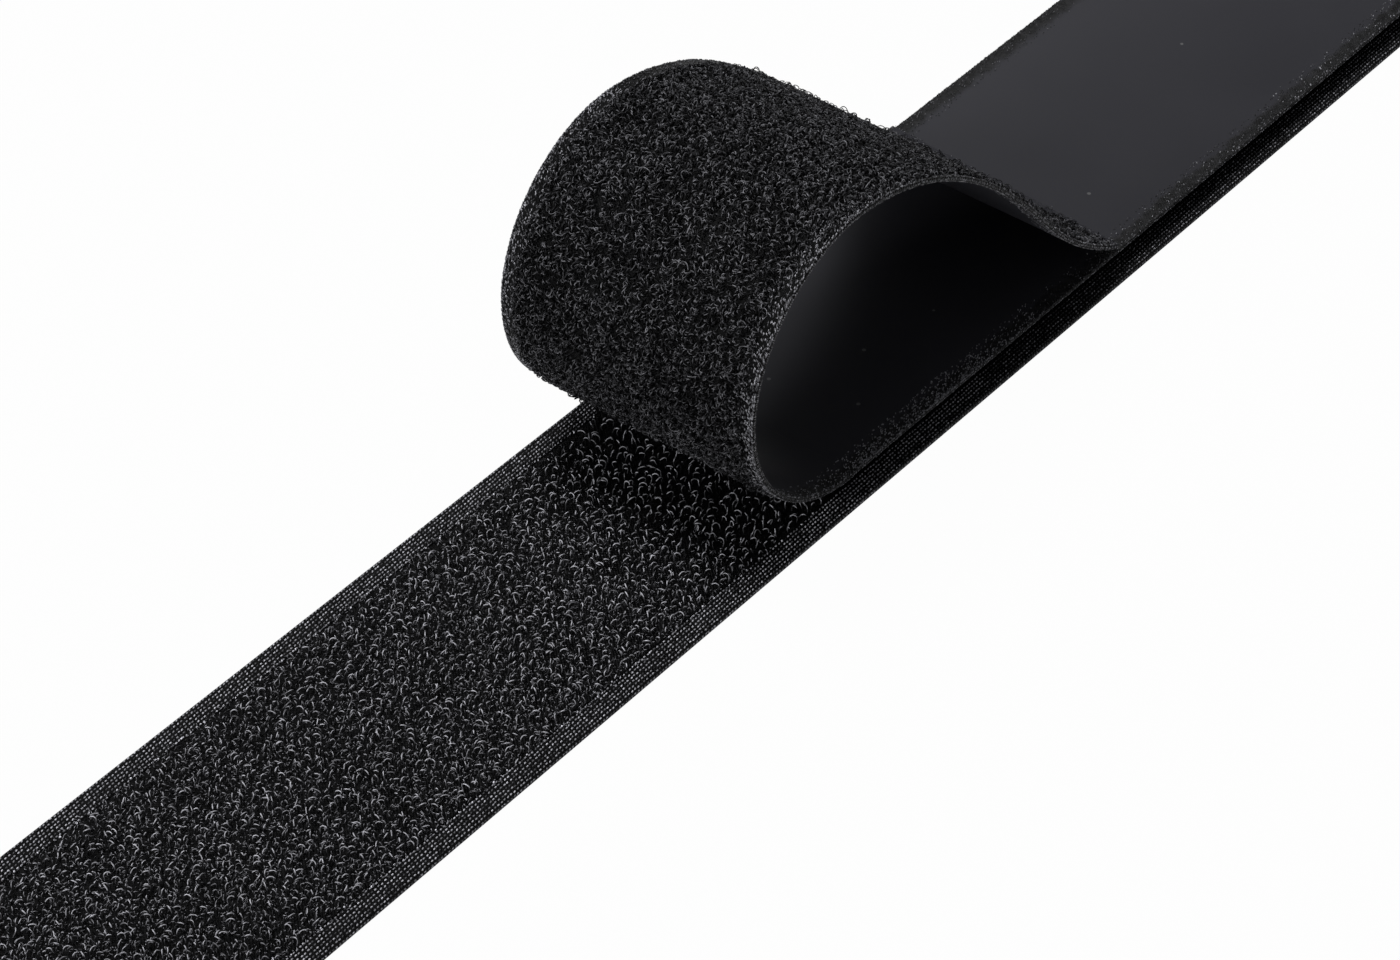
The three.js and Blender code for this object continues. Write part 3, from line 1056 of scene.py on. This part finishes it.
# %% Peeled flap
PILE_DENSITY = 5.2
LINK_CUT = 1.3 * MM
CREST = 7
LOOP_CUT_YARNS = 160
loop_sides = (-HALF, HALF)
loop_heights = (-(COAT + 0.5 * WEB), -(COAT + WEB))

for i in range(len(joints)):
    number = f"{i + 1:02d}"
    start = arcs[i]["along"]
    last = i == len(joints) - 1
    stop = LANDED if last else arcs[i + 1]["along"]
    strip = loop_strip(f"loop_tape_{number}", start, stop, LINK_CUT)

    bm = bmesh.new()
    near_edge = PILE_EDGE if i < CREST else FULL_EDGE
    loops = pile_on(bm, random.Random(100 + i), start, stop, -near_edge, PILE_EDGE, PILE_DENSITY)
    pile = finish_piece(bm, f"loop_fluff_{number}", pile_nylon)

    bm = bmesh.new()
    pile_face = PILE_FACE if i <= CREST else FALL_FACE
    edge_yarns(bm, random.Random(200 + i), start, stop, [pile_face, BACK_FACE])
    if last:
        cut_yarns(bm, random.Random(230), LOOP_CUT_YARNS, loop_sides, loop_heights,
                  lambda y, z: tape_matrix(end_at(y), y, z), OUT_OF_END)
    edges = finish_piece(bm, f"loop_edges_{number}", edge_yarn)

    for made in (strip, pile, edges):
        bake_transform(made)
    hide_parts(f"loop_coating_{number}", f"loop_web_{number}")
    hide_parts(f"loop_pile_{number}")
    print(strip.name, "loops:", loops, "pile faces:", len(pile.data.polygons))

# %% Pressed stretch of loop tape
PRESSED_START = LINK / 2 - PRESSED_END
UNDER_CREST = -36.0 * MM
UNDER_CURL = -52.0 * MM
pressed = loop_strip("loop_tape_pressed", PRESSED_START, 0.0, CUT)
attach(pressed, bodies[0])
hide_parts("loop_coating_pressed", "loop_web_pressed")

bm = bmesh.new()
# Under the curl the dashes are lighter and fuller, painted light in its shadow; on the exposed back fewer are
# light, painted shade.
edge_yarns(bm, random.Random(301), UNDER_CREST, 0.0, [PAINTED_LIGHT_EDGE])
edge_yarns(bm, random.Random(305), UNDER_CURL, UNDER_CREST, [BACK_FACE])
edge_yarns(bm, random.Random(304), PRESSED_START, UNDER_CURL, [PAINTED_SHADE_EDGE])
cut_yarns(bm, random.Random(303), LOOP_CUT_YARNS, loop_sides, loop_heights,
          lambda y, z: tape_matrix(PRESSED_START, y, z), OUT_OF_START)
pressed_edges = finish_piece(bm, "loop_edges_pressed", edge_yarn)
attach(pressed_edges, bodies[0])

# %% Pile buried in the hooks
BURIED_ROUND = 0.3 * MM
FRINGE_FROM = PILE_HALF - 0.6 * MM
FRINGE_TO = PILE_HALF + 0.3 * MM
FRINGE_DENSITY = 5.0
END_LOOPS = 400
buried_low, buried_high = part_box("loop_pile_pressed")
bm = slab(buried_low, buried_high, BURIED_ROUND, CUT)
keep_flat_cut(bm, LOOP_MIDDLE)
draw = random.Random(302)
for low, high in ((-FRINGE_TO, -FRINGE_FROM), (FRINGE_FROM, FRINGE_TO)):
    pile_on(bm, draw, PRESSED_START, 0.0, low, high, FRINGE_DENSITY)
for _ in range(END_LOOPS):
    y = draw.uniform(buried_low.y, buried_high.y)
    z = draw.uniform(buried_low.z, buried_high.z)
    turn = any_way_round(draw)
    plant(bm, draw.choice(loop_stamps), Matrix.Translation((buried_high.x, y, z)) @ OUT_OF_END @ turn)
buried = finish_piece(bm, "loop_pile_buried", pile_nylon)
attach(buried, bodies[0])
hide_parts("loop_pile_pressed")

# %% [markdown]
# ## Stage and light
# The tape lies on a white sweep, a floor whose rim curves up all round like a shallow bowl, so that every
# view has a white background. The camera and the reflections see the sweep as plain white with only a breath
# of shadow. That comes from its material and not from more light, so the black cloth keeps its own tone.
# One soft box stands above and behind, so that its light falls through the curl on to the left of its
# inside, and a smaller one stands beside the hooks. The room above the rim is dim, which leaves the rest of
# the inside as dark as it is in the photograph.

# %% White sweep
SWEEP_RADIUS = 3.0
SWEEP_SIDES = 96
SWEEP_STEP = 0.3
SWEEP_TURNS = 6
SWEEP_TURN = math.radians(12.0)
SWEEP_GREY = 0.35
SWEEP_GLOW = 0.98
FLOOR_GAP = 0.05 * MM

bm = bmesh.new()
ring = bmesh.ops.create_circle(bm, cap_ends=True, segments=SWEEP_SIDES, radius=SWEEP_RADIUS)["verts"]
bmesh.ops.translate(bm, vec=(0.0, 0.0, cad_low.z - FLOOR_GAP), verts=ring)
rim = [e for e in bm.edges if e.is_boundary]
for k in range(1, SWEEP_TURNS + 1):
    angle = SWEEP_TURN * k
    grown = bmesh.ops.extrude_edge_only(bm, edges=rim)["geom"]
    raised = [g for g in grown if isinstance(g, bmesh.types.BMVert)]
    rim = [g for g in grown if isinstance(g, bmesh.types.BMEdge)]
    wider = 1.0 + SWEEP_STEP * math.cos(angle) / raised[0].co.to_2d().length
    bmesh.ops.scale(bm, vec=(wider, wider, 1.0), verts=raised)
    bmesh.ops.translate(bm, vec=(0.0, 0.0, SWEEP_STEP * math.sin(angle)), verts=raised)
bmesh.ops.recalc_face_normals(bm, faces=bm.faces[:])
sweep_mesh = bpy.data.meshes.new("white_sweep")
for face in bm.faces:
    face.smooth = len(face.verts) == 4
bm.to_mesh(sweep_mesh)
bm.free()
sweep = bpy.data.objects.new("white_sweep", sweep_mesh)
bpy.context.scene.collection.objects.link(sweep)

white, tree, shader = new_finish("white_sweep")
shader.inputs["Base Color"].default_value = grey(SWEEP_GREY, 1.0)
shader.inputs["Roughness"].default_value = 0.9
path = add_node(tree, "ShaderNodeLightPath")
seen = math_node(tree, "MAXIMUM", path.outputs["Is Camera Ray"], path.outputs["Is Glossy Ray"])
seen = math_node(tree, "MAXIMUM", seen, path.outputs["Is Transmission Ray"])
glow = add_node(tree, "ShaderNodeEmission", Color=(1.0, 1.0, 1.0, 1.0), Strength=1.0)
share = math_node(tree, "MULTIPLY", seen, SWEEP_GLOW)
shaded_floor = shader.outputs["BSDF"]
mixed = add_node(tree, "ShaderNodeMixShader", i0=share, i1=shaded_floor, i2=glow.outputs["Emission"])
tree.links.new(mixed.outputs["Shader"], tree.nodes["Material Output"].inputs["Surface"])
sweep_mesh.materials.append(white)

# %% Dim room
ROOM_COLOUR = (0.97, 0.98, 1.0, 1.0)
ROOM_STRENGTH = 0.15
world = bpy.data.worlds.new("dim_room")
bpy.context.scene.world = world
world.use_nodes = True
room = world.node_tree.nodes["Background"]
room.inputs["Color"].default_value = ROOM_COLOUR
room.inputs["Strength"].default_value = ROOM_STRENGTH


# %% Lamps
def soft_box(name, place, target, size, power):
    lamp_data = bpy.data.lights.new(name, "AREA")
    lamp_data.shape = "SQUARE"
    lamp_data.size = size
    lamp_data.energy = power
    lamp = bpy.data.objects.new(name, lamp_data)
    lamp.location = place
    lamp.rotation_mode = "QUATERNION"
    lamp.rotation_quaternion = (Vector(target) - Vector(place)).to_track_quat("-Z", "Y")
    bpy.context.scene.collection.objects.link(lamp)


soft_box("soft_box_above", place=(0.05, 0.4, 0.95), target=(0.0, 0.0, 0.0), size=0.36, power=7.2)
soft_box("soft_box_beside", place=(-0.88, 0.15, 0.52), target=(-0.02, 0.0, 0.03), size=0.3, power=5.0)
